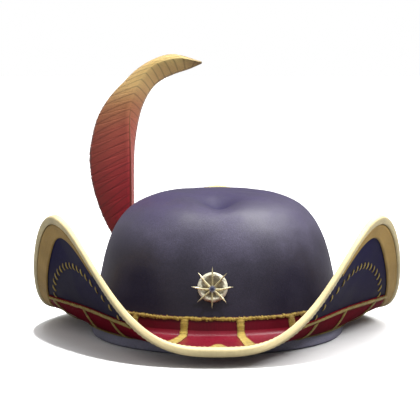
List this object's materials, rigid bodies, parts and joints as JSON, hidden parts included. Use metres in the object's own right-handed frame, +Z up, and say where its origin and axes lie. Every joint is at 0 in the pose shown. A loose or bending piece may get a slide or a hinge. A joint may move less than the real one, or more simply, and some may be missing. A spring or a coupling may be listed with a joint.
{
  "type": "tricorn hat",
  "caption": "Felt tricorn hat with a domed crown, cocked brim with bound edge, red ribbon with gold lace, star badge and curled plume.",
  "frame": {"origin": "on the surface the hat rests on, under the middle of its overall width and length", "axes": "+Z up, -Y towards the front point of the brim and the badge, +X towards the wearer's left"},
  "size_m": [0.2584, 0.2908, 0.194],
  "materials": {
    "felt": "dark violet-grey brushed felt with a soft sheen",
    "binding": "cream ribbed binding, rolled over the edge",
    "braid": "flat tan woven braid",
    "ribbon": "crimson ribbed ribbon",
    "gold_lace": "gold thread lace",
    "boss_metal": "pale brass, dark in the recess",
    "star_metal": "polished pale brass",
    "feather": "dyed feather, crimson at the foot and gold at the tip, with dark bars",
    "socket_felt": "dark leather"
  },
  "bodies": {
    "root": {"crown": "felt", "brim": "felt", "edge_binding": "binding", "edge_braid_outer": "braid", "edge_braid_inner": "braid", "crown_band": "ribbon", "brim_band_outer": "ribbon", "brim_band_inner": "ribbon", "lace_crown": "gold_lace", "lace_outer": "gold_lace", "lace_lobe_left": "gold_lace", "lace_lobe_rear": "gold_lace", "lace_lobe_right": "gold_lace", "badge_boss": "boss_metal", "badge_star": "star_metal", "plume": "feather", "plume_socket": "socket_felt"}
  },
  "joints": []
}
